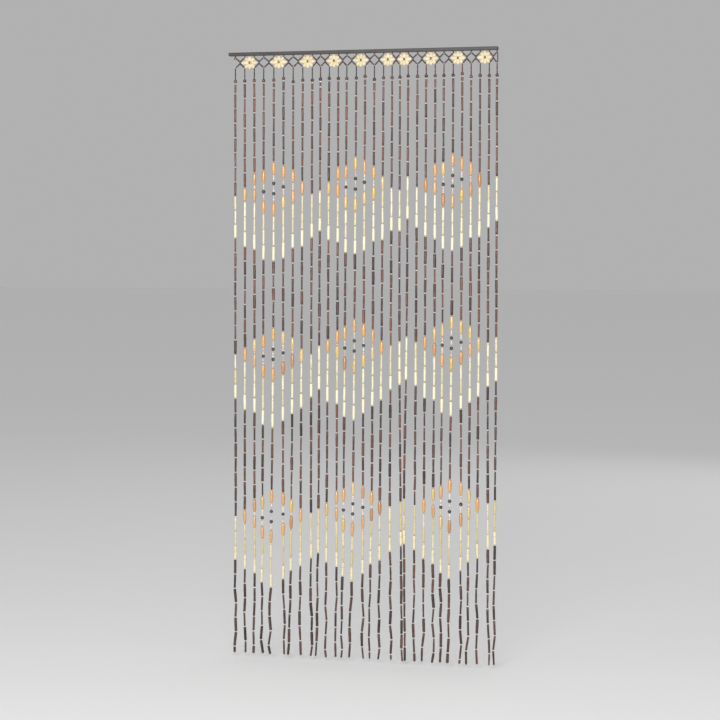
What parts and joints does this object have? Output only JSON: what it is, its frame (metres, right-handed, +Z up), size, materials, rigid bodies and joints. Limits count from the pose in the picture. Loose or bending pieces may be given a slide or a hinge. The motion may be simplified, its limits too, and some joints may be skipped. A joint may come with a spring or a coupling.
{
  "type": "bead curtain with hanging rail",
  "caption": "Doorway curtain of bamboo bead strings with flowers over zigzag bands, crossed into a beaded net under a slim wooden rail.",
  "frame": {"origin": "middle of the rail's flat top face, where the rail meets the lintel", "axes": "+Z up, out of the rail's top face; X along the rail; Y through the curtain, -Y towards the front"},
  "size_m": [0.9105, 0.02, 2.011],
  "materials": {
    "rail_wood": "satin",
    "dark_bamboo": "satin",
    "pale_bamboo": "satin",
    "amber_wood": "gloss",
    "black_bead": "gloss",
    "clear_seed": "gloss",
    "dark_seed": "gloss",
    "thread": "matte"
  },
  "bodies": {
    "root": {"hanging_rail": "rail_wood", "bead_strings": "dark_bamboo"}
  },
  "joints": []
}
